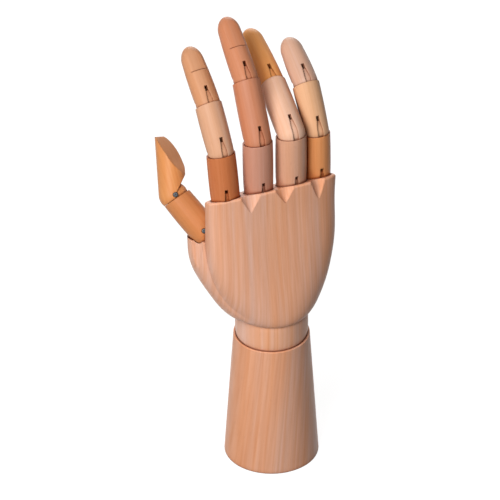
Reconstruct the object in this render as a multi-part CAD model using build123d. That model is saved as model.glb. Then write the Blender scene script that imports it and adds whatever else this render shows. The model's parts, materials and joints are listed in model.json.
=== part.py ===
"""Articulated wooden hand on a turned forearm stand: a right hand with its back to the front (-Y).

Frame: millimetres, +Z up, origin at the centre of the forearm's foot. The palm side faces +Y and the
thumb is on the -X side. The solids stand in the hand's resting pose, with the fingers half curled.

Every finger joint is built alike. The round end of one segment sits in the cup of the segment below,
a steel cross pin runs through the round end, and the eye of a screw eye in the cup turns on that pin
inside a sawn slot. The wrist block has two such joints, crosswise, on a rod that swivels in the forearm.
"""
import os
from dataclasses import dataclass
from math import atan, atan2, copysign, cos, degrees, pi, radians, sin, sqrt, tan

from build123d import *

# Forearm stand
forearm_foot_radius = 28.4
forearm_top_radius = 23.0
forearm_height = 85.4
forearm_edge_round = 0.5

# Wrist block: a short barrel with two round ends, one in the forearm's cup and one in the palm's
wrist_radius = 22.0
wrist_band = 18.1
wrist_rim_drop = 5.0
wrist_cup_clearance = 0.3
wrist_tilt = 12.0
wrist_swivel = 90.0

# Eye bolt and screw eye of the wrist
wrist_eye_radius = 3.7
wrist_eye_thickness = 3.0
wrist_neck_width = 4.6
rod_diameter = 6.0
rod_running_gap = 0.05
palm_eye_shank_length = 14.0

# Spring, washer and nut on the rod, in a well under the forearm
well_diameter = 18.0
well_depth = 40.0
spring_wire = 1.6
spring_mean_diameter = 11.0
spring_pitch = 4.0
spring_turns = 5
washer_diameter = 15.0
washer_thickness = 1.5
nut_width = 10.0
nut_height = 5.0
rod_past_nut = 2.5
spring_seat_gap = 0.1

# Screw eyes and cross pins of the finger joints
pin_diameter = 3.2
pin_end_round = 0.5
pin_below_surface = 0.05
pin_blind_wall = 2.0
press_gap = 0.02
eye_running_gap = 0.05
eye_radius = 3.6
eye_thickness = 1.7
eye_neck_width = 3.0
eye_shank_diameter = 3.6
eye_shank_length = 7.0
slot_side_gap = 0.25
slot_end_gap = 0.4

# Round ends and cups of the finger joints
cup_clearance = 0.2
rim_drop = 2.0
rim_hood = 4.0
shelf_angle = 54.0
knuckle_shelf_angle = 60.0
notch_relief = 0.15
flex_range = 70.0
segment_swell = 0.3

# Sawn groove on the back of each round end, with a deeper hole at its upper end
groove_width = 1.9
groove_foot_width = 3.4
groove_depth = 1.0
groove_top = 8.4
knuckle_groove_top = 11.0
groove_hole_length = 3.0
groove_hole_depth = 6.0

# Finger tips and the nail flats
tip_taper = 0.7
tip_round_length = 10.0
nail_depth = 0.5
nail_radius = 12.0
nail_tilt = 3.0
nail_line_width = 0.5
nail_line_depth = 0.35

# Palm
palm_centre_x = -1.25
palm_half_width = 41.5
palm_wrist_radius = 23.0
palm_back_depth = 11.5
palm_front_depth = 9.4
knuckle_height = 86.1
knuckle_rim_rise = 0.5
knuckle_slope = 27.0
knuckle_hood = 12.0
socket_clearance = 0.4
palm_centre_height = 31.5
lobe_inset = 1.0
palm_rim_round = 1.2

# Thumb: seat of its knuckle pin, and the direction from which its two pins are driven
thumb_seat = (-38.2, 13.0, 160.3)
thumb_pin_side = 22.5
thumb_pin_rise = 34.8
thumb_lean = 38.5
thumb_bend = 34.5
thumb_ball_radius = 9.0
thumb_length = 27.7
thumb_tip_ball_radius = 7.4
thumb_tip_length = 35.4
thumb_tip_radius = 8.4
thumb_tip_offset = 1.75
thumb_pad_angle = 28.0
thumb_pad_bulge_z = 11.0
thumb_tip_blunt = 0.3
thumb_tip_round = 1.6
thumb_shelf_angle = 60.5
thumb_knuckle_shelf_angle = 34.0
thumb_heel_gap = 0.15
thumb_socket_lean = 16.0
thumb_swing_out = 12.0
thumb_swing_in = 20.0
thumb_clearance = 0.6
thumb_hollow_radius = 6.5
thumb_hollow_depth = 2.5
thumb_hollow_length = 15.5
thumb_hollow_side = 53.0

OUTLINE_POINTS = 24
QUARTER_ROUND = 0.5523
FAR = 120.0


@dataclass
class Segment:
    """A finger segment: the radius of its round end, and its length from pin to pin or to its tip."""

    radius: float
    length: float


@dataclass
class Rim:
    """The rim of a cup: its wall, its slant down to the palm side, and the outside's lean to the back."""

    wall: float
    slant: float
    lean: float


@dataclass
class Finger:
    """A finger: its knuckle pin's place, its splay, segments and curl at rest, and its nail's length."""

    name: str
    x: float
    y: float
    splay: float
    groove_turn: float
    segments: tuple
    curl: tuple
    nail: float


@dataclass
class PalmSection:
    """A level outline of the palm: height above its wrist rim, half width, depths and squareness."""

    height: float
    half_width: float
    back: float
    front: float
    squareness: float


@dataclass
class LobeSection:
    """A level round of the thumb lobe: height above the wrist rim, centre and radius."""

    height: float
    x: float
    y: float
    radius: float


@dataclass
class Hollow:
    """A pointed hollow between two knuckles: place, length, and half width and depth at the rim."""

    x: float
    length: float
    half_width: float
    depth: float


FINGERS = (
    Finger(
        name="index", x=-29.9, y=0.0, splay=-3.0, groove_turn=-12.0,
        segments=(Segment(8.8, 33.2), Segment(8.0, 30.3), Segment(7.5, 36.2)),
        curl=(6.0, 28.0, 18.0), nail=17.5,
    ),
    Finger(
        name="middle", x=-8.6, y=0.0, splay=0.0, groove_turn=0.0,
        segments=(Segment(8.8, 36.8), Segment(8.4, 37.5), Segment(7.6, 40.1)),
        curl=(2.0, 28.5, 23.3), nail=22.0,
    ),
    Finger(
        name="ring", x=12.5, y=0.0, splay=0.0, groove_turn=0.0,
        segments=(Segment(9.1, 36.9), Segment(8.5, 34.8), Segment(7.5, 40.4)),
        curl=(0.0, 59.0, 11.0), nail=0.0,
    ),
    Finger(
        name="little", x=30.6, y=3.0, splay=-0.6, groove_turn=0.0,
        segments=(Segment(8.1, 33.8), Segment(7.5, 29.8), Segment(7.6, 31.3)),
        curl=(0.0, 35.0, 29.0), nail=0.0,
    ),
)
PALM_SECTIONS = (
    PalmSection(0.0, palm_wrist_radius, palm_wrist_radius, palm_wrist_radius, 2.0),
    PalmSection(3.5, 26.8, 23.8, 23.6, 2.05),
    PalmSection(9.5, 30.4, 23.4, 22.3, 2.15),
    PalmSection(18.5, 34.4, 22.0, 20.0, 2.3),
    PalmSection(31.5, 38.3, 19.5, 16.5, 2.5),
    PalmSection(46.5, 40.6, 17.0, 13.5, 2.65),
    PalmSection(62.5, 41.1, 14.7, 11.2, 2.7),
    PalmSection(78.5, 41.3, 12.9, 10.0, 2.7),
    PalmSection(94.5, palm_half_width, palm_back_depth, palm_front_depth, 2.7),
    PalmSection(110.5, 41.6, 10.4, 8.9, 2.7),
)
LOBE_SECTIONS = (
    LobeSection(0.0, 0.0, 0.0, palm_wrist_radius - lobe_inset),
    LobeSection(4.5, -7.0, 3.0, 23.8),
    LobeSection(11.5, -13.0, 5.0, 22.8),
    LobeSection(26.5, -24.0, 10.0, 19.8),
    LobeSection(41.5, -32.5, 12.0, 15.5),
    LobeSection(55.0, -36.5, 13.0, 12.0),
    LobeSection(65.0, -37.5, 13.5, 11.5),
)
HOLLOWS = (Hollow(-18.5, 12.7, 7.1, 4.0), Hollow(3.8, 10.4, 6.6, 4.0), Hollow(26.2, 18.6, 5.6, 5.5))
FINGER_RIM = Rim(wall=0.4, slant=14.0, lean=0.0)
THUMB_RIM = Rim(wall=1.15, slant=4.0, lean=1.55)
# Points on the thumb pad's curve between its bulge and the tip: across the segment, and up from the pin
THUMB_PAD = ((4.1, 17.8), (-2.1, 28.3))
SEGMENT_NAMES = ("proximal", "middle", "distal")
JOINT_NAMES = ("knuckle", "middle", "tip")

pin_radius = pin_diameter / 2
palm_base = forearm_height + wrist_band
knuckle_z = palm_base + knuckle_height
lower_pin_z = forearm_height + wrist_rim_drop
upper_pin_z = palm_base - wrist_rim_drop
spring_length = spring_pitch * spring_turns + spring_wire
washer_top_z = well_depth - spring_length - 2 * spring_seat_gap
nut_top_z = washer_top_z - washer_thickness
rod_top_z = lower_pin_z - wrist_radius - wrist_cup_clearance
rod_end_z = nut_top_z - nut_height - rod_past_nut
thumb_pin_reach = sqrt(thumb_tip_radius**2 - thumb_tip_offset**2)

nodes = {}
joints = {}


def turn(axis_x=0.0, axis_y=0.0, axis_z=0.0):
    """Turn about one axis of a joint frame, in degrees."""
    return Location((0, 0, 0), (axis_x, axis_y, axis_z))


def shift(x=0.0, y=0.0, z=0.0):
    """Move without turning."""
    return Location((x, y, z))


def cross_slab(outline, width):
    """A slab across the pin: an outline in the plane of bending, thickened along the pin."""
    return extrude(Plane.YZ * outline, amount=width / 2, both=True)


def cross_bar(radius, length):
    """A round bar along the pin axis, centred on the joint."""
    return turn(axis_y=90) * Cylinder(radius, length)


def above(plane_origin, normal):
    """A block that fills all the space on the normal's side of a plane."""
    return Location(Plane(origin=plane_origin, z_dir=normal)) * shift(z=FAR / 2) * Box(FAR, FAR, FAR)


def slanted_block(rim, below=False):
    """All the space above a cup's rim, or below it: the rim is higher at the back than on the palm side."""
    block = shift(z=-FAR / 2 if below else FAR / 2) * Box(FAR, FAR, FAR)
    return turn(axis_x=-rim.slant) * block


def swept_neck(half_width, reach, first, last):
    """Outline swept by an eye's neck between two angles, measured from straight down."""
    outline = Circle(half_width)
    for angle in (first, last):
        outline += turn(axis_z=angle) * shift(y=-reach / 2) * Rectangle(2 * half_width, reach)
    middle = (first + last) / 2
    fan = [(0, 0)]
    for angle in (first, middle, last):
        fan.append((reach * sin(radians(angle)), -reach * cos(radians(angle))))
    return outline + make_face(Polyline(*fan, close=True))


def eye_slot(ball_radius, first, last, radius=eye_radius, thickness=eye_thickness, neck=eye_neck_width):
    """Sawn slot in a round end, with room for the eye and for its neck at both ends of the swing."""
    pocket = Circle(radius + slot_end_gap)
    pocket += swept_neck(neck / 2 + slot_end_gap, ball_radius + rim_drop, first, last)
    return cross_slab(pocket, thickness + 2 * slot_side_gap)


def screw_eye(
    ball_radius, shank_length=eye_shank_length, clearance=cup_clearance, radius=eye_radius,
    thickness=eye_thickness, neck=eye_neck_width, shank_diameter=eye_shank_diameter,
):
    """Flat eye on the pin, a flat neck through the slot, and a round shank from the cup's floor down."""
    seat = ball_radius + clearance
    eye = cross_slab(Circle(radius), thickness)
    eye += shift(z=-(seat + shank_length) / 2) * Box(thickness, neck, seat + shank_length)
    eye += shift(z=-seat - shank_length / 2) * Cylinder(shank_diameter / 2, shank_length)
    return eye - cross_bar(pin_radius + eye_running_gap, 2 * thickness)


def shank_hole(
    ball_radius, shank_length=eye_shank_length, clearance=cup_clearance, diameter=eye_shank_diameter,
):
    """Hole for a screw eye's shank, from inside the cup down past the shank's end."""
    depth = clearance + shank_length + slot_end_gap
    return shift(z=-ball_radius - depth / 2) * Cylinder(diameter / 2 + press_gap, depth)


def cup(radius, clearance, hood):
    """Cup for a round end: a ball, with a straight bore above the pin, up through the rim's high side."""
    return Sphere(radius + clearance) + shift(z=hood / 2) * Cylinder(radius + clearance, hood)


def side_bar(radius, first, last):
    """A round bar along the pin axis, from one place on it to another."""
    return shift(x=(first + last) / 2) * cross_bar(radius, last - first)


def cross_pin(ball_radius):
    """Steel pin with rounded ends, driven in from one side and just under the wood there."""
    pin = side_bar(pin_radius, pin_blind_wall - ball_radius, ball_radius - pin_below_surface)
    return fillet(pin.edges().filter_by(GeomType.CIRCLE), pin_end_round)


def pin_hole(ball_radius):
    """Hole for a cross pin, open on one side and blind on the other."""
    return side_bar(pin_radius + press_gap, pin_blind_wall - press_gap - ball_radius, 2 * ball_radius)


def back_groove(radius, top):
    """Groove along the back of a round end that widens to the pin, with a deep hole at its upper end."""
    outside = radius + rim_drop
    floor = radius - groove_depth
    outline = shift(-outside / 2, -outside / 2) * Rectangle(outside, outside) - Circle(floor)
    outline += shift((-outside - floor) / 2, top / 2) * Rectangle(outside - floor, top)
    bottom = radius - groove_hole_depth
    hole_z = top - groove_hole_length / 2
    outline += shift((-outside - bottom) / 2, hole_z) * Rectangle(outside - bottom, groove_hole_length)
    half, foot_half = groove_width / 2, groove_foot_width / 2
    right = [(half, top), (half, top - groove_hole_length), (foot_half, 0), (foot_half, -outside)]
    left = [(-x, z) for x, z in reversed(right)]
    sides = extrude(Plane.XZ * make_face(Polyline(*right, *left, close=True)), amount=outside, both=True)
    return cross_slab(outline, groove_foot_width) & sides


def bend_notch(radius, shelf):
    """Wedge cut away on the palm side, outside the ball, so that the segment can bend."""
    wide = 3 * radius
    wedge = make_face(Polyline((0, 0), (wide, wide * tan(radians(shelf))), (wide, 0), close=True))
    return cross_slab(wedge, wide) - Sphere(radius - notch_relief)


def joint_cuts(radius, groove, groove_turn=0.0):
    """All that is cut out of a round end: slot, pin hole and, where it has a top, the groove."""
    cuts = eye_slot(radius, 0, flex_range) + pin_hole(radius)
    return cuts + turn(axis_z=groove_turn) * back_groove(radius, groove) if groove else cuts


def turned(outline):
    """Solid turned about the segment's own axis from a half outline."""
    return revolve(Plane.XZ * make_face(outline), Axis.Z)


def carrying_segment(segment, following, shelf, rim, groove=None, groove_turn=0.0):
    """Proximal or middle segment: round end below, cup for the next segment above."""
    end_radius = following.radius + cup_clearance + rim.wall
    top = segment.length + end_radius * tan(radians(rim.slant))
    middle_radius = (segment.radius + end_radius) / 2 + segment_swell
    ball = CenterArc((0, 0), segment.radius, -90, 90)
    side = ThreePointArc((segment.radius, 0), (middle_radius, top / 2), (end_radius, top))
    blank = turned([ball, side, Line((end_radius, top), (0, top)), Line((0, top), (0, -segment.radius))])
    blank = turn(axis_x=rim.lean) * blank
    blank -= shift(z=segment.length - rim_drop) * slanted_block(rim)
    blank -= shift(z=segment.length) * cup(following.radius, cup_clearance, rim_hood)
    blank -= shift(z=segment.length) * shank_hole(following.radius)
    return blank - bend_notch(segment.radius, shelf) - joint_cuts(segment.radius, groove, groove_turn)


def tip_segment(segment, nail):
    """Distal segment: round end below, rounded tip above, and a nail flat where the finger has a nail."""
    tip_radius = segment.radius - tip_taper
    shoulder = segment.length - tip_round_length
    ball = CenterArc((0, 0), segment.radius, -90, 90)
    middle_radius = (segment.radius + tip_radius) / 2 + segment_swell
    side = ThreePointArc((segment.radius, 0), (middle_radius, shoulder / 2), (tip_radius, shoulder))
    tip = Bezier(
        (tip_radius, shoulder),
        (tip_radius, shoulder + QUARTER_ROUND * tip_round_length),
        (QUARTER_ROUND * tip_radius, segment.length),
        (0, segment.length),
    )
    blank = turned([ball, side, tip, Line((0, segment.length), (0, -segment.radius))])
    if nail:
        blank -= nail_flat(segment, nail)
    return blank - bend_notch(segment.radius, shelf_angle) - joint_cuts(segment.radius, groove_top)


def nail_flat(segment, nail):
    """What is carved off above the nail, outside a wide round bed, with a cut line at the nail's root."""
    bed_z = segment.length - nail
    apex = segment.radius - tip_taper * bed_z / (segment.length - tip_round_length) - nail_depth
    block = shift(y=-nail_radius, z=nail) * Box(4 * nail_radius, 2 * nail_radius, 2 * nail)
    bed = shift(y=nail_radius - apex) * Cylinder(nail_radius, 4 * nail)
    line = shift(y=-nail_radius) * Box(4 * nail_radius, 2 * nail_radius, nail_line_width)
    line -= shift(y=nail_radius - apex + nail_line_depth) * Cylinder(nail_radius, nail)
    return shift(z=bed_z) * (turn(axis_x=-nail_tilt) * ((block - bed) + line))


def add_joint(name, frame, low, high):
    """Note a bending joint: the pin's place and axis, and its travel from the resting pose."""
    joints[name] = (frame, low, high)


def build_finger(finger):
    """Segments, pins and screw eyes of one finger, each placed from its knuckle outwards."""
    frame = knuckle_frame(finger)
    for order, segment in enumerate(finger.segments):
        joint = f"{finger.name}_{JOINT_NAMES[order]}"
        nodes[f"{joint}_eye"] = frame * screw_eye(segment.radius)
        bend = finger.curl[order]
        frame = frame * turn(axis_x=-bend)
        add_joint(joint, frame, -bend, flex_range - bend)
        nodes[f"{joint}_pin"] = frame * cross_pin(segment.radius)
        if order + 1 < len(finger.segments):
            shelf = shelf_angle if order else knuckle_shelf_angle
            groove = groove_top if order else knuckle_groove_top
            groove_turn = 0.0 if order else finger.groove_turn
            following = finger.segments[order + 1]
            wood = carrying_segment(segment, following, shelf, FINGER_RIM, groove, groove_turn)
        else:
            wood = tip_segment(segment, finger.nail)
        nodes[f"{finger.name}_{SEGMENT_NAMES[order]}"] = frame * wood
        frame = frame * shift(z=segment.length)


def knuckle_frame(finger):
    """Frame of a finger's knuckle, straight up out of the palm."""
    place = shift(finger.x, finger.y, knuckle_z - finger.y * tan(radians(knuckle_slope)))
    return place * turn(axis_y=finger.splay)


def thumb_frame():
    """Frame of the thumb's knuckle: x along its pin, z along its first segment, y the way it bends."""
    side = radians(thumb_pin_side)
    rise = radians(thumb_pin_rise)
    pin = Vector(-sin(side) * cos(rise), -cos(side) * cos(rise), sin(rise))
    across = Vector(cos(side), -sin(side), 0)
    upright = pin.cross(across)
    along = upright * cos(radians(thumb_lean)) - across * sin(radians(thumb_lean))
    return Location(Plane(origin=thumb_seat, x_dir=pin, z_dir=along))


def thumb_tip_wood():
    """Thumb's distal segment: straight back, pad carved aslant to the tip, heel on the cup's rim."""
    front = thumb_tip_radius - thumb_tip_offset * cos(radians(thumb_pad_angle))
    back = 2 * thumb_tip_radius - front
    low = -2 * thumb_tip_radius
    bulge = (front, thumb_pad_bulge_z)
    tip = (thumb_tip_blunt - back, thumb_tip_length)
    over = (-back, thumb_tip_length - thumb_tip_round)
    outline = make_face([
        Line((front, low), bulge),
        Spline(bulge, *THUMB_PAD, tip, over, tangents=((0, 1), (-1, -3))),
        Polyline(over, (-2 * back, over[1]), (-2 * back, low), (front, low)),
    ])
    wood = shift(z=thumb_tip_length / 2) * Cylinder(thumb_tip_radius, thumb_tip_length)
    wood = shift(y=-thumb_tip_offset) * (wood + Sphere(thumb_tip_radius))
    wood &= turn(axis_z=-thumb_pad_angle) * cross_slab(outline, 4 * back)
    wood -= bend_notch(thumb_tip_ball_radius, thumb_shelf_angle)
    under_rim = shift(z=thumb_heel_gap - rim_drop) * slanted_block(THUMB_RIM, below=True)
    for bend in (thumb_bend, flex_range):
        wood -= turn(axis_x=bend) * under_rim
    wood += Sphere(thumb_tip_ball_radius)
    wood -= eye_slot(thumb_tip_ball_radius, 0, flex_range)
    return wood - pin_hole(thumb_pin_reach)


def build_thumb():
    """Segments, pins and screw eyes of the thumb."""
    first = Segment(thumb_ball_radius, thumb_length)
    last = Segment(thumb_tip_ball_radius, thumb_tip_length)
    frame = thumb_frame()
    nodes["thumb_knuckle_eye"] = frame * turn(axis_x=thumb_swing_out) * screw_eye(first.radius)
    nodes["thumb_knuckle_pin"] = frame * cross_pin(first.radius)
    nodes["thumb_proximal"] = frame * carrying_segment(first, last, thumb_knuckle_shelf_angle, THUMB_RIM)
    add_joint("thumb_knuckle", frame, -thumb_swing_out, thumb_swing_in)
    frame = frame * shift(z=first.length)
    nodes["thumb_tip_eye"] = frame * screw_eye(last.radius)
    frame = frame * turn(axis_x=-thumb_bend)
    nodes["thumb_tip_pin"] = frame * cross_pin(thumb_pin_reach)
    nodes["thumb_distal"] = frame * thumb_tip_wood()
    add_joint("thumb_tip", frame, 0, flex_range - thumb_bend)


def palm_outline(section):
    """Closed level outline: |x/a|^n + |y/b|^n = 1, with its own depth at the back and at the front."""
    points = []
    power = 2 / section.squareness
    for step in range(OUTLINE_POINTS):
        angle = 2 * pi * step / OUTLINE_POINTS
        across = copysign(abs(cos(angle)) ** power, cos(angle))
        deep = copysign(abs(sin(angle)) ** power, sin(angle))
        depth = section.front if deep > 0 else section.back
        centre = palm_centre_x * min(1, section.height / palm_centre_height)
        points.append((centre + section.half_width * across, depth * deep))
    return shift(z=palm_base + section.height) * make_face(Spline(*points, periodic=True))


def thumb_room():
    """Space that the thumb's first segment sweeps past the palm."""
    radius = thumb_tip_ball_radius + cup_clearance + THUMB_RIM.wall + thumb_clearance
    bar = shift(z=thumb_length) * Cylinder(radius, 2 * thumb_length)
    room = bar
    for swing in (-thumb_swing_out, thumb_swing_in):
        room += turn(axis_x=-swing) * bar
    return thumb_frame() * room


def thumb_lobe():
    """Round lobe that carries the thumb, cut nearly level at its mouth."""
    rounds = []
    for section in LOBE_SECTIONS:
        rounds.append(shift(section.x, section.y, palm_base + section.height) * Circle(section.radius))
    lobe = loft(rounds)
    lean = radians(thumb_socket_lean)
    return lobe - above(thumb_seat, (-sin(lean), 0, cos(lean))) - thumb_hollow()


def thumb_hollow():
    """Round gouge cut on the lobe, deepest at the rim of the thumb's socket."""
    mouth = LOBE_SECTIONS[-2]
    reach = mouth.radius - thumb_hollow_depth + thumb_hollow_radius
    lean = degrees(atan2(thumb_hollow_depth, thumb_hollow_length))
    gouge = shift(y=-reach) * turn(axis_x=-lean) * Cylinder(thumb_hollow_radius, FAR)
    return shift(mouth.x, mouth.y, thumb_seat[2]) * turn(axis_z=-thumb_hollow_side) * gouge


def palm_wood():
    """Palm: a slab with a convex back, the thumb lobe, five finger sockets and the wrist's cup."""
    palm = loft([palm_outline(section) for section in PALM_SECTIONS])
    slope = radians(knuckle_slope)
    palm -= above((0, 0, knuckle_z + knuckle_rim_rise), (0, sin(slope), cos(slope)))
    top = palm.faces().sort_by(Axis((0, 0, 0), (0, sin(slope), cos(slope))))[-1]
    palm = fillet(top.edges(), palm_rim_round)
    for hollow in HOLLOWS:
        palm -= knuckle_hollow(hollow)
    palm += thumb_lobe()
    palm -= thumb_room()
    for finger in FINGERS:
        radius = finger.segments[0].radius
        palm -= knuckle_frame(finger) * (cup(radius, socket_clearance, knuckle_hood) + shank_hole(radius))
    socket = cup(thumb_ball_radius, socket_clearance, knuckle_hood) + shank_hole(thumb_ball_radius)
    palm -= thumb_frame() * turn(axis_x=thumb_swing_out) * socket
    palm -= shift(z=upper_pin_z) * Sphere(wrist_radius + wrist_cup_clearance)
    palm -= upper_wrist_frame() * shank_hole(
        wrist_radius, palm_eye_shank_length, wrist_cup_clearance, rod_diameter,
    )
    return palm


def knuckle_hollow(hollow):
    """Cone-shaped gouge cut that runs out to a point on the back of the palm, and is deepest at the rim."""
    below, above_it = PALM_SECTIONS[-3:-1]
    back_run = (below.back - above_it.back) / (above_it.height - below.height)
    rim_z = knuckle_z + knuckle_rim_rise + palm_back_depth * tan(radians(knuckle_slope))
    point = (hollow.x, -palm_back_depth - back_run * hollow.length, rim_z - hollow.length)
    sink = atan(hollow.depth / hollow.length)
    spread = atan(hollow.half_width / hollow.length)
    half_angle = atan((1 / cos(spread) - cos(sink)) / sin(sink))
    lean = degrees(half_angle - sink - atan(back_run))
    cone = shift(z=FAR / 4) * Cone(0, FAR / 2 * tan(half_angle), FAR / 2)
    return Location(point) * turn(axis_x=lean) * cone


def upper_wrist_frame():
    """Frame of the palm's wrist joint: its pin runs from back to front and its screw eye points up."""
    return Location(Plane(origin=(0, 0, upper_pin_z), x_dir=(0, 1, 0), z_dir=(0, 0, -1)))


def wrist_wood():
    """Wrist block: round at both ends, slotted crosswise for the rod's eye and for the palm's eye."""
    span = upper_pin_z - lower_pin_z
    low = CenterArc((0, 0), wrist_radius, -90, 90)
    high = CenterArc((0, span), wrist_radius, 0, 90)
    side = Line((wrist_radius, 0), (wrist_radius, span))
    axis = Line((0, span + wrist_radius), (0, -wrist_radius))
    block = shift(z=lower_pin_z) * turned([low, side, high, axis])
    cuts = eye_slot(
        wrist_radius, -wrist_tilt, wrist_tilt, wrist_eye_radius, wrist_eye_thickness, wrist_neck_width,
    )
    cuts += pin_hole(wrist_radius)
    return block - shift(z=lower_pin_z) * cuts - upper_wrist_frame() * cuts


def build_wrist():
    """Wrist block with its pins, the swivel rod below it and the palm's screw eye above it."""
    low = shift(z=lower_pin_z)
    high = upper_wrist_frame()
    shape = dict(
        clearance=wrist_cup_clearance, radius=wrist_eye_radius, thickness=wrist_eye_thickness,
        neck=wrist_neck_width, shank_diameter=rod_diameter,
    )
    nodes["wrist_block"] = wrist_wood()
    nodes["wrist_lower_pin"] = low * cross_pin(wrist_radius)
    nodes["wrist_upper_pin"] = high * cross_pin(wrist_radius)
    nodes["swivel_rod"] = low * screw_eye(wrist_radius, shank_length=rod_top_z - rod_end_z, **shape)
    nodes["palm_wrist_eye"] = high * screw_eye(wrist_radius, shank_length=palm_eye_shank_length, **shape)
    add_joint("forearm_swivel", low, -wrist_swivel, wrist_swivel)
    add_joint("wrist_bend", low, -wrist_tilt, wrist_tilt)
    add_joint("wrist_sway", high, -wrist_tilt, wrist_tilt)


def forearm_wood():
    """Forearm: a turned cone with a cup on top, a bore for the rod and a well for its spring."""
    forearm = shift(z=forearm_height / 2) * Cone(forearm_foot_radius, forearm_top_radius, forearm_height)
    forearm = fillet(forearm.edges().filter_by(GeomType.CIRCLE), forearm_edge_round)
    forearm -= shift(z=lower_pin_z) * Sphere(wrist_radius + wrist_cup_clearance)
    forearm -= shift(z=forearm_height / 2) * Cylinder(rod_diameter / 2 + rod_running_gap, forearm_height)
    return forearm - shift(z=well_depth / 2) * Cylinder(well_diameter / 2, well_depth)


def build_forearm():
    """Forearm, and the spring, washer and nut that hold the swivel rod in it."""
    nodes["forearm"] = forearm_wood()
    coil = Helix(spring_pitch, spring_pitch * spring_turns, spring_mean_diameter / 2)
    wire = Plane(origin=coil @ 0, z_dir=coil % 0) * Circle(spring_wire / 2)
    spring_z = washer_top_z + spring_seat_gap + spring_wire / 2
    nodes["tension_spring"] = shift(z=spring_z) * sweep(wire, path=coil)
    bore = Cylinder(rod_diameter / 2 + rod_running_gap, forearm_height)
    washer = Cylinder(washer_diameter / 2, washer_thickness) - bore
    nodes["rod_washer"] = shift(z=washer_top_z - washer_thickness / 2) * washer
    nut = extrude(RegularPolygon(nut_width / 2, 6, major_radius=False), amount=nut_height) - bore
    nodes["rod_nut"] = shift(z=nut_top_z - nut_height) * nut


build_forearm()
build_wrist()
nodes["palm"] = palm_wood()
for each in FINGERS:
    build_finger(each)
build_thumb()

os.makedirs("parts", exist_ok=True)
for name, solid in nodes.items():
    export_step(solid, f"parts/{name}.step")
print(len(nodes), "nodes written")
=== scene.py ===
"""Finishes and studio for a jointed wooden hand that stands on a turned forearm.

Laid out as an add-on and run as a script: the wooden pieces get a varnished, solid grain that runs along
each piece, the pins and eyes get dark steel, and the stage adds a pale floor, soft lamps and a camera.
"""
import json
from math import cos, radians, sin

import bpy
import numpy as np
from bpy.props import FloatProperty, FloatVectorProperty, PointerProperty
from mathutils import Matrix, Vector

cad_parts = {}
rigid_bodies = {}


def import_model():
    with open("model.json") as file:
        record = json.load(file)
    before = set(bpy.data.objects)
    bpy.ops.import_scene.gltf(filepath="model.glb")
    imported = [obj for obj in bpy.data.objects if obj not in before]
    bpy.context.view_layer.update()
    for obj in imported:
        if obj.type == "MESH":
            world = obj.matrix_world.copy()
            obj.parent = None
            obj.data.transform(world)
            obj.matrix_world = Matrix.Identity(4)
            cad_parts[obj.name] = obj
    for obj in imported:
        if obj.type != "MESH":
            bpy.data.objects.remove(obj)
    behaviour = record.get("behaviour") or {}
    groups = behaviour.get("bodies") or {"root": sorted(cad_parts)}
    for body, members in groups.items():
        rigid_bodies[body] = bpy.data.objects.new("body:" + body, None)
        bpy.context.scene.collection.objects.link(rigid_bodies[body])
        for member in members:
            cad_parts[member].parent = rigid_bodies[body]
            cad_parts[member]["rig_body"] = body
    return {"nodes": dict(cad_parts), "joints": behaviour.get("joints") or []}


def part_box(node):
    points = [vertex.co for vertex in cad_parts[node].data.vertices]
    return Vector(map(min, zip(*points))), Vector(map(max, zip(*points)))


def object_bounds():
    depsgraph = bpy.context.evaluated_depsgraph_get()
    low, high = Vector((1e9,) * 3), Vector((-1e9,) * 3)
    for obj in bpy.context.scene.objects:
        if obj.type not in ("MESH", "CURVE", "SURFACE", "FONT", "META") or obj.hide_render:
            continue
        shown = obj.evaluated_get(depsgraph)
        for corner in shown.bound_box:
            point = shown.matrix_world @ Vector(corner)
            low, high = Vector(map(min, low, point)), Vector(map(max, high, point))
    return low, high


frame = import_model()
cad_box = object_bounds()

bl_info = {
    "name": "Jointed wooden hand",
    "version": (1, 0, 0),
    "blender": (4, 5, 0),
    "location": "3D View > Sidebar > Wooden hand",
    "description": "Finishes the wood and steel of a jointed hand and sets it on a studio floor",
    "category": "Object",
}

FINGERS = ("index", "middle", "ring", "little")
SEGMENTS = ("proximal", "middle", "distal")
THUMB_PIECES = ("thumb_proximal", "thumb_distal")
STAND_PIECES = ("forearm", "wrist_block")
STEEL_ENDINGS = ("_pin", "_eye", "_rod", "_washer", "_nut", "_spring")

# Picture side and the foot's place in it, in pixels; sensor side in millimetres
IMAGE_SIDE = 500.0
FOOT_PIXEL = (271.6, 447.9)
SENSOR_SIDE = 36.0

# Lamps: azimuth and elevation in degrees, distance and side in metres
KEY_PLACE = (-50, 38, 1.5, 1.0)
FILL_PLACE = (-15, 62, 1.5, 0.6)
BACK_PLACE = (158, 24, 1.5, 1.0)
FLOOR_GLOW = 0.89

# Grain: lean of the forearm's, depth of a layer against its width, metres from one piece's grain to the next's,
# and the share of the contrast that fingers show
FOREARM_LEAN = 0.1
LAYER_DEPTH = 7.0
GRAIN_STEP = 0.037
FINGER_GRAIN = 0.55

# Features of the grain: widths against a band or streak, lengths against their own width, shares of a mixture
BAND_RUN = 60.0
BROAD_BAND = 3.6
BAND_SHARE = 0.4
STREAK_RUN = 70.0
STREAK_SHARE = 0.6
FIBRE_WIDTH = 0.4
FIBRE_RUN = 20.0
GRAIN_RANGE = (0.34, 0.66)
FLECK_SLIMNESS = 6.0
FLECK_RANGE = (0.66, 0.80)
FLECK_STRENGTH = 0.07

# Openness at which the painted shade in a seam or crevice is darkest and has no more effect, and the gloss
# inside one and outside
SEAM_SHADE_RANGE = (0.42, 0.97)
CREVICE_SHADE_RANGE = (0.15, 0.75)
GLOSS_RANGE = (0.3, 0.9)
GLOSS = (0.02, 0.12)
OPENNESS_SAMPLES = 8
EDGE_SAMPLES = 4

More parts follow.
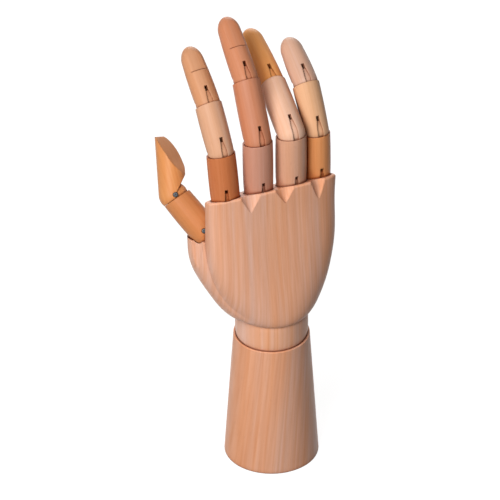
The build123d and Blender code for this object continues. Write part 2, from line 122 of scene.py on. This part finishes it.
# Varnish: spread of its roughness, depth of the grain's relief, and the clear coat's weight and roughness
ROUGHNESS_SPREAD = 0.05
RELIEF_STRENGTH = 0.1
RELIEF_DEPTH = 0.0003
COAT = (0.03, 0.25)

# Tints: of the two hues of the bands, of dark and pale streaks, of the flecks and the painted shade in seams
# and grooves, and of the painted shade in crevices
ORANGE = (1.04, 0.92, 0.78)
PINK = (0.97, 1.05, 1.18)
DARK_STREAK = (0.93, 0.83, 0.72)
PALE_STREAK = (1.05, 1.10, 1.15)
FLECK_AND_SEAM_SHADE = (0.55, 0.42, 0.38)
CREVICE_SHADE = (0.62, 0.46, 0.38)


def tone(name, default):
    """Colour setting for one piece of wood."""
    return FloatVectorProperty(
        name=name, description=f"Mean colour of the wood: {name.lower()}", default=default,
        subtype="COLOR", size=3, min=0.0, max=1.0,
    )


class WOODHAND_PG_tones(bpy.types.PropertyGroup):
    """Mean colour of each piece of wood."""

    forearm: tone("Forearm", (0.735, 0.385, 0.245))
    wrist_block: tone("Wrist block", (0.79, 0.45, 0.31))
    palm: tone("Palm", (0.745, 0.405, 0.27))
    index_proximal: tone("Index proximal", (0.55, 0.17, 0.058))
    index_middle: tone("Index middle", (0.64, 0.355, 0.22))
    index_distal: tone("Index distal", (0.6, 0.285, 0.145))
    middle_proximal: tone("Middle proximal", (0.565, 0.265, 0.175))
    middle_middle: tone("Middle middle", (0.545, 0.225, 0.127))
    middle_distal: tone("Middle distal", (0.56, 0.225, 0.115))
    ring_proximal: tone("Ring proximal", (0.655, 0.36, 0.24))
    ring_middle: tone("Ring middle", (0.77, 0.48, 0.34))
    ring_distal: tone("Ring distal", (0.8, 0.35, 0.115))
    little_proximal: tone("Little proximal", (0.74, 0.31, 0.117))
    little_middle: tone("Little middle", (0.7, 0.405, 0.232))
    little_distal: tone("Little distal", (0.625, 0.385, 0.283))
    thumb_proximal: tone("Thumb proximal", (0.57, 0.218, 0.077))
    thumb_distal: tone("Thumb distal", (0.65, 0.275, 0.098))


class WOODHAND_PG_finish(bpy.types.PropertyGroup):
    """Grain and gloss of the wood, and the steel."""

    band_width: FloatProperty(
        name="Growth band", description="Width across one orange and one pink band of the grain",
        default=0.0042, min=0.001, max=0.03, subtype="DISTANCE", unit="LENGTH",
    )
    hue_contrast: FloatProperty(
        name="Hue contrast", description="How far the bands change hue from the mean colour",
        default=1.25, min=0.0, max=2.0, subtype="FACTOR",
    )
    streak_width: FloatProperty(
        name="Streak width", description="Width of the long pale and dark streaks",
        default=0.0016, min=0.0002, max=0.01, subtype="DISTANCE", unit="LENGTH",
    )
    streak_contrast: FloatProperty(
        name="Streak contrast", description="How far the streaks leave the mean colour",
        default=1.0, min=0.0, max=2.0, subtype="FACTOR",
    )
    fleck_length: FloatProperty(
        name="Fleck length", description="Length of the short faint flecks along the grain",
        default=0.0032, min=0.0005, max=0.02, subtype="DISTANCE", unit="LENGTH",
    )
    varnish_roughness: FloatProperty(
        name="Varnish roughness", description="Mean roughness of the varnished wood",
        default=0.38, min=0.05, max=1.0, subtype="FACTOR",
    )
    # Painted shade: how far out of a seam or groove the wood is darkened by how enclosed it is
    seam_shade_reach: FloatProperty(
        name="Seam reach", description="How far out of a seam the varnish is darker",
        default=0.0016, min=0.0, max=0.02, subtype="DISTANCE", unit="LENGTH",
    )
    # Painted shade: how far out of a crevice between parts the wood is darkened; the same reach dulls the gloss
    # there
    crevice_shade_reach: FloatProperty(
        name="Crevice reach", description="How far out of a crevice the wood is darker and less glossy",
        default=0.007, min=0.0, max=0.05, subtype="DISTANCE", unit="LENGTH",
    )
    edge_softness: FloatProperty(
        name="Edge softness", description="Radius by which the worn edges of the wood look rounded",
        default=0.001, min=0.0, max=0.005, subtype="DISTANCE", unit="LENGTH",
    )
    steel: FloatVectorProperty(
        name="Steel", description="Colour of the pins, eyes, rod, spring, washer and nut",
        default=(0.055, 0.056, 0.06), subtype="COLOR", size=3, min=0.0, max=1.0,
    )


class WOODHAND_PG_stage(bpy.types.PropertyGroup):
    """Floor, lamps and camera."""

    floor_side: FloatProperty(
        name="Floor", description="Side of the square floor", default=8.0, min=1.0, unit="LENGTH",
    )
    floor_colour: FloatVectorProperty(
        name="Floor colour", description="Colour of the light that the floor sends back",
        default=(0.22, 0.22, 0.22), subtype="COLOR", size=3, min=0.0, max=1.0,
    )
    key_power: FloatProperty(
        name="Key lamp", description="Power of the large soft lamp on the left, in watts",
        default=26.0, min=0.0,
    )
    fill_power: FloatProperty(
        name="Fill lamp", description="Power of the soft lamp above the front, in watts", default=2.5, min=0.0,
    )
    back_power: FloatProperty(
        name="Back lamp", description="Power of the soft lamp behind the hand, in watts", default=13.0, min=0.0,
    )
    sky_strength: FloatProperty(
        name="Surroundings", description="Strength of the light from all round", default=0.08, min=0.0,
    )
    camera_azimuth: FloatProperty(
        name="Camera azimuth", description="Turn of the camera round the hand", default=radians(-22.5),
        subtype="ANGLE", unit="ROTATION",
    )
    camera_elevation: FloatProperty(
        name="Camera elevation", description="Height of the camera above the horizon", default=radians(34.8),
        subtype="ANGLE", unit="ROTATION",
    )
    camera_lens: FloatProperty(
        name="Lens", description="Focal length of the camera, in millimetres",
        default=1600.0, min=20.0, max=5000.0,
    )
    picture_side: FloatProperty(
        name="Picture", description="Real width that the picture spans at the hand", default=0.3, unit="LENGTH",
    )


class WOODHAND_PG_settings(bpy.types.PropertyGroup):
    """All settings of the hand."""

    tones: PointerProperty(type=WOODHAND_PG_tones)
    finish: PointerProperty(type=WOODHAND_PG_finish)
    stage: PointerProperty(type=WOODHAND_PG_stage)


def body_of_node(node):
    """Name of the body that a CAD piece rides on."""
    return frame["nodes"][node]["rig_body"]


def grain_frame(node):
    """Place and turn of a piece's grain, with z along the piece and x across its layers.

    A segment's grain runs from its own pin to the next pin, or to the middle of its mesh where it is the
    last of its chain. The wrist and palm have an upright grain, and the forearm's leans a little.
    """
    body = body_of_node(node)
    own = [Vector(j["pos_m"]) for j in frame["joints"] if j["child"] == body]
    following = [Vector(j["pos_m"]) for j in frame["joints"] if j["parent"] == body]
    if node in STAND_PIECES or node == "palm":
        low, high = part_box(node)
        start, along = (low + high) / 2, Vector((FOREARM_LEAN if node == "forearm" else 0, 0, 1))
    elif following:
        start, along = own[0], following[0] - own[0]
    else:
        points = np.array([v.co for v in frame["nodes"][node].data.vertices])
        start, along = own[0], Vector(points.mean(axis=0)) - own[0]
    along.normalize()
    across = (Vector((1, 0, 0)) - along * along.x).normalized()
    start = start + across * GRAIN_STEP * list(frame["nodes"]).index(node)
    return start, Matrix((across, along.cross(across), along)).transposed().to_euler()


class Nodes:
    """Short hand for adding and linking shader nodes of one tree."""

    def __init__(self, tree):
        self.tree = tree
        tree.nodes.clear()

    def add(self, kind, inputs=None, **settings):
        """Add a node, set its own settings, then set or link its inputs."""
        node = self.tree.nodes.new(kind)
        for key, value in settings.items():
            setattr(node, key, value)
        for key, value in (inputs or {}).items():
            if isinstance(value, bpy.types.NodeSocket):
                self.tree.links.new(value, node.inputs[key])
            else:
                node.inputs[key].default_value = value
        return node

    def noise(self, vector, scale, detail=2.0, roughness=0.5):
        """Grey noise from 0 to 1."""
        values = {"Vector": vector, "Scale": scale, "Detail": detail, "Roughness": roughness}
        return self.add("ShaderNodeTexNoise", values).outputs["Fac"]

    def stretched(self, vector, across, along):
        """Coordinates in which one feature is one unit: narrow across the layers, deep, and long along them."""
        scale = (1 / across, 1 / (LAYER_DEPTH * across), 1 / along)
        return self.add("ShaderNodeMapping", {"Vector": vector, "Scale": scale}).outputs["Vector"]

    def grain(self, vector, across, along):
        """Streaks along the grain, spread to fill 0 to 1."""
        return self.spread(self.noise(self.stretched(vector, across, along), 1.0), *GRAIN_RANGE)

    def spread(self, value, low, high, to_low=0.0, to_high=1.0):
        """Map a grey value from one range to another, held at both ends."""
        values = {"Value": value, "From Min": low, "From Max": high, "To Min": to_low, "To Max": to_high}
        return self.add("ShaderNodeMapRange", values, clamp=True).outputs["Result"]

    def mix(self, factor, first, second, blend="MIX"):
        """Mix two colours."""
        node = self.add("ShaderNodeMix", data_type="RGBA", blend_type=blend)
        for socket, value in ((node.inputs[0], factor), (node.inputs[6], first), (node.inputs[7], second)):
            if isinstance(value, bpy.types.NodeSocket):
                self.tree.links.new(value, socket)
            elif socket.type == "RGBA":
                socket.default_value = (*value, 1.0)
            else:
                socket.default_value = value
        return node.outputs[2]

    def maths(self, operation, first, second):
        """One step of arithmetic on two grey values."""
        return self.add("ShaderNodeMath", {0: first, 1: second}, operation=operation).outputs[0]

    def blend(self, first, second, share):
        """Weighted mean of two grey values: the share of the first, and the rest of the second."""
        parts = self.maths("MULTIPLY", first, share), self.maths("MULTIPLY", second, 1 - share)
        return self.maths("ADD", *parts)

    def openness(self, reach):
        """1 in the open, and less the more of the surroundings lies within reach."""
        values = {"Distance": reach}
        return self.add("ShaderNodeAmbientOcclusion", values, samples=OPENNESS_SAMPLES).outputs["AO"]

    def seen(self):
        """1 for rays from the camera, from reflections and through clear things, 0 for rays that light."""
        rays = self.add("ShaderNodeLightPath").outputs
        direct = self.maths("MAXIMUM", rays["Is Camera Ray"], rays["Is Glossy Ray"])
        return self.maths("MAXIMUM", direct, rays["Is Transmission Ray"])


def tinted(colour, tint, share):
    """A colour multiplied by a tint, in full or by a share of it."""
    return tuple(c * (1 + share * (t - 1)) for c, t in zip(colour, tint))


def wood_material(node, colour, finish, share):
    """Varnished wood whose solid grain follows one piece: bands, streaks, flecks, painted shade in seams and
    crevices, soft edges.

    The share is how much of the grain's contrast the piece shows.
    """
    material = bpy.data.materials.new(f"varnished_{node}")
    material.use_nodes = True
    nodes = Nodes(material.node_tree)
    start, turn = grain_frame(node)
    place = nodes.add("ShaderNodeTexCoord").outputs["Object"]
    settled = nodes.add(
        "ShaderNodeMapping", {"Vector": place, "Location": start, "Rotation": turn}, vector_type="TEXTURE",
    ).outputs["Vector"]
    band, streak, fleck = finish.band_width, finish.streak_width, finish.fleck_length
    bands = nodes.grain(settled, band, BAND_RUN * band)
    broad = nodes.grain(settled, BROAD_BAND * band, BAND_RUN * band)
    streaks = nodes.grain(settled, streak, STREAK_RUN * streak)
    fibres = nodes.grain(settled, FIBRE_WIDTH * streak, FIBRE_RUN * streak)
    orange = tinted(colour, ORANGE, share * finish.hue_contrast)
    pink = tinted(colour, PINK, share * finish.hue_contrast)
    wood = nodes.mix(nodes.blend(bands, broad, BAND_SHARE), orange, pink)

    light = nodes.blend(streaks, fibres, STREAK_SHARE)
    dark = tinted((1, 1, 1), DARK_STREAK, share * finish.streak_contrast)
    pale = tinted((1, 1, 1), PALE_STREAK, share * finish.streak_contrast)
    wood = nodes.mix(1.0, wood, nodes.mix(light, dark, pale), "MULTIPLY")

    # Dark reddish tint of the wood: the colour of the real flecks, and of the painted shade in seams and
    # grooves
    fleck_and_shade_colour = tinted(colour, FLECK_AND_SEAM_SHADE, 1.0)
    flecks = nodes.noise(nodes.stretched(settled, fleck / FLECK_SLIMNESS, fleck), 1.0, 0.0)
    wood = nodes.mix(nodes.spread(flecks, *FLECK_RANGE, 0.0, FLECK_STRENGTH), wood, fleck_and_shade_colour)
    # Painted shade: the wood turns to the dark tint where seams, grooves and rims close it in
    wood = nodes.mix(nodes.spread(nodes.openness(finish.seam_shade_reach), *SEAM_SHADE_RANGE), fleck_and_shade_colour, wood)
    # Painted shade: crevices between fingers and under rims are darkened, and there the gloss is lower too
    around = nodes.openness(finish.crevice_shade_reach)
    wood = nodes.mix(nodes.spread(around, *CREVICE_SHADE_RANGE), nodes.mix(1.0, wood, CREVICE_SHADE, "MULTIPLY"), wood)

    low, high = finish.varnish_roughness - ROUGHNESS_SPREAD, finish.varnish_roughness + ROUGHNESS_SPREAD
    edges = nodes.add("ShaderNodeBevel", {"Radius": finish.edge_softness}, samples=EDGE_SAMPLES)
    relief = nodes.add("ShaderNodeBump", {
        "Strength": RELIEF_STRENGTH, "Distance": RELIEF_DEPTH, "Height": light,
        "Normal": edges.outputs["Normal"],
    })
    surface = nodes.add("ShaderNodeBsdfPrincipled", {
        "Base Color": wood, "Roughness": nodes.spread(fibres, 0.0, 1.0, high, low), "Normal": relief.outputs[0],
        "Specular IOR Level": nodes.spread(around, *GLOSS_RANGE, *GLOSS), "Coat Weight": COAT[0],
        "Coat Roughness": COAT[1],
    })
    nodes.add("ShaderNodeOutputMaterial", {"Surface": surface.outputs["BSDF"]})
    return material


def steel_material(finish):
    """Dark drawn steel with a fine uneven polish."""
    material = bpy.data.materials.new("drawn_steel")
    material.use_nodes = True
    nodes = Nodes(material.node_tree)
    place = nodes.add("ShaderNodeTexCoord").outputs["Object"]
    scratches = nodes.noise(nodes.stretched(place, 0.0006, 0.0012), 1.0, 3.0, 0.6)
    colour = nodes.mix(scratches, tuple(0.8 * c for c in finish.steel), tuple(1.12 * c for c in finish.steel))
    rough = nodes.spread(scratches, 0.3, 0.7, 0.10, 0.20)
    surface = nodes.add("ShaderNodeBsdfPrincipled", {"Base Color": colour, "Roughness": rough, "Metallic": 1.0})
    nodes.add("ShaderNodeOutputMaterial", {"Surface": surface.outputs["BSDF"]})
    return material


def dress(node, material):
    """Give a CAD piece one material all over."""
    slots = frame["nodes"][node].data.materials
    slots.clear()
    slots.append(material)


def finish_wood(context, names, share=1.0):
    """Give each of these wooden pieces its own varnished wood, with a share of the grain's contrast."""
    settings = context.scene.wooden_hand
    for node in names:
        dress(node, wood_material(node, tuple(getattr(settings.tones, node)), settings.finish, share))


class WOODHAND_OT_stand(bpy.types.Operator):
    """Finish the forearm and the wrist block"""

    bl_idname = "woodhand.finish_stand"
    bl_label = "Finish forearm and wrist"

    def execute(self, context):
        finish_wood(context, STAND_PIECES)
        return {"FINISHED"}


class WOODHAND_OT_palm(bpy.types.Operator):
    """Finish the palm"""

    bl_idname = "woodhand.finish_palm"
    bl_label = "Finish palm"

    def execute(self, context):
        finish_wood(context, ["palm"])
        return {"FINISHED"}


class WOODHAND_OT_fingers(bpy.types.Operator):
    """Finish the twelve finger segments"""

    bl_idname = "woodhand.finish_fingers"
    bl_label = "Finish fingers"

    def execute(self, context):
        pieces = [f"{finger}_{segment}" for finger in FINGERS for segment in SEGMENTS]
        finish_wood(context, pieces, FINGER_GRAIN)
        return {"FINISHED"}


class WOODHAND_OT_thumb(bpy.types.Operator):
    """Finish the two thumb segments"""

    bl_idname = "woodhand.finish_thumb"
    bl_label = "Finish thumb"

    def execute(self, context):
        finish_wood(context, THUMB_PIECES, FINGER_GRAIN)
        return {"FINISHED"}


class WOODHAND_OT_steel(bpy.types.Operator):
    """Finish the pins, eyes, swivel rod, spring, washer and nut"""

    bl_idname = "woodhand.finish_steel"
    bl_label = "Finish steel"

    def execute(self, context):
        steel = steel_material(context.scene.wooden_hand.finish)
        for node in frame["nodes"]:
            if node.endswith(STEEL_ENDINGS):
                dress(node, steel)
        return {"FINISHED"}


def floor_material(colour):
    """Pale matt floor: white to the camera and to reflections, and it keeps a soft shadow."""
    material = bpy.data.materials.new("studio_floor")
    material.use_nodes = True
    nodes = Nodes(material.node_tree)
    matt = nodes.add("ShaderNodeBsdfDiffuse", {"Color": (*colour, 1.0)})
    glow = nodes.add("ShaderNodeEmission", {"Strength": nodes.maths("MULTIPLY", nodes.seen(), FLOOR_GLOW)})
    surface = nodes.add("ShaderNodeAddShader", {0: matt.outputs[0], 1: glow.outputs[0]})
    nodes.add("ShaderNodeOutputMaterial", {"Surface": surface.outputs[0]})
    return material


def add_floor(stage):
    """A square floor at the height of the hand's foot."""
    half = stage.floor_side / 2
    corners = np.array([(-1, -1, 0), (1, -1, 0), (1, 1, 0), (-1, 1, 0)]) * half
    mesh = bpy.data.meshes.new("studio_floor")
    mesh.from_pydata(corners.tolist(), [], [(0, 1, 2, 3)])
    mesh.materials.append(floor_material(stage.floor_colour))
    floor = bpy.data.objects.new("studio_floor", mesh)
    bpy.context.scene.collection.objects.link(floor)


def looking(azimuth, elevation):
    """Unit vector from the hand towards a place at that azimuth and elevation."""
    return Vector((sin(azimuth) * cos(elevation), -cos(azimuth) * cos(elevation), sin(elevation)))


def add_lamp(name, target, place, power):
    """A square soft lamp that faces the hand, at its azimuth, elevation and distance, with its side."""
    azimuth, elevation, distance, side = place
    direction = looking(radians(azimuth), radians(elevation))
    light = bpy.data.lights.new(name, "AREA")
    light.size = side
    light.energy = power
    lamp = bpy.data.objects.new(name, light)
    lamp.location = target + direction * distance
    lamp.rotation_euler = direction.to_track_quat("Z", "Y").to_euler()
    lamp.visible_camera = False
    bpy.context.scene.collection.objects.link(lamp)


def add_surroundings(strength):
    """White to the camera, and a dimmer light from all round for the hand."""
    world = bpy.data.worlds.new("studio_surroundings")
    world.use_nodes = True
    nodes = Nodes(world.node_tree)
    level = nodes.spread(nodes.seen(), 0.0, 1.0, strength, 1.0)
    light = nodes.add("ShaderNodeBackground", {"Color": (1, 1, 1, 1), "Strength": level})
    nodes.add("ShaderNodeOutputWorld", {"Surface": light.outputs[0]})
    bpy.context.scene.world = world


def add_camera(stage, target):
    """A long lens at the photograph's angle, with the hand's foot at its place in the picture.

    The picture spans its real width at the depth of the target, the middle of the hand.
    """
    direction = looking(stage.camera_azimuth, stage.camera_elevation)
    turn = direction.to_track_quat("Z", "Y")
    across, up = turn @ Vector((1, 0, 0)), turn @ Vector((0, 1, 0))
    pixel = stage.picture_side / IMAGE_SIDE
    centre = across * (IMAGE_SIDE / 2 - FOOT_PIXEL[0]) * pixel + up * (FOOT_PIXEL[1] - IMAGE_SIDE / 2) * pixel
    data = bpy.data.cameras.new("photo_camera")
    data.sensor_width = SENSOR_SIDE
    data.lens = stage.camera_lens
    camera = bpy.data.objects.new("photo_camera", data)
    distance = stage.picture_side * stage.camera_lens / SENSOR_SIDE + target.dot(direction)
    camera.location = centre + direction * distance
    camera.rotation_euler = turn.to_euler()
    bpy.context.scene.collection.objects.link(camera)
    bpy.context.scene.camera = camera


class WOODHAND_OT_stage(bpy.types.Operator):
    """Add the floor, the lamps, the surroundings and the camera"""

    bl_idname = "woodhand.build_stage"
    bl_label = "Build stage"

    def execute(self, context):
        stage = context.scene.wooden_hand.stage
        low, high = cad_box
        target = (low + high) / 2
        add_floor(stage)
        add_surroundings(stage.sky_strength)
        add_lamp("key_lamp", target, KEY_PLACE, stage.key_power)
        add_lamp("fill_lamp", target, FILL_PLACE, stage.fill_power)
        add_lamp("back_lamp", target, BACK_PLACE, stage.back_power)
        add_camera(stage, target)
        context.scene.view_settings.view_transform = "Standard"
        return {"FINISHED"}


class WOODHAND_PT_panel(bpy.types.Panel):
    """Settings and steps of the wooden hand."""

    bl_idname = "WOODHAND_PT_panel"
    bl_label = "Wooden hand"
    bl_space_type = "VIEW_3D"
    bl_region_type = "UI"
    bl_category = "Wooden hand"

    def draw(self, context):
        settings = context.scene.wooden_hand
        for group in (settings.tones, settings.finish, settings.stage):
            column = self.layout.column(align=True)
            for key in group.__annotations__:
                column.prop(group, key)
        for step in STEPS:
            self.layout.operator(step.bl_idname)


STEPS = (
    WOODHAND_OT_stand, WOODHAND_OT_palm, WOODHAND_OT_fingers, WOODHAND_OT_thumb, WOODHAND_OT_steel,
    WOODHAND_OT_stage,
)
CLASSES = (
    WOODHAND_PG_tones, WOODHAND_PG_finish, WOODHAND_PG_stage, WOODHAND_PG_settings, *STEPS, WOODHAND_PT_panel,
)


def register():
    """Register the classes and hang the settings on the scene."""
    for each in CLASSES:
        bpy.utils.register_class(each)
    bpy.types.Scene.wooden_hand = PointerProperty(type=WOODHAND_PG_settings)


def unregister():
    """Take the settings and the classes away again."""
    del bpy.types.Scene.wooden_hand
    for each in reversed(CLASSES):
        bpy.utils.unregister_class(each)


def main():
    """Register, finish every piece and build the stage."""
    register()
    bpy.ops.woodhand.finish_stand()
    bpy.ops.woodhand.finish_palm()
    bpy.ops.woodhand.finish_fingers()
    bpy.ops.woodhand.finish_thumb()
    bpy.ops.woodhand.finish_steel()
    bpy.ops.woodhand.build_stage()


if __name__ == "__main__":
    main()
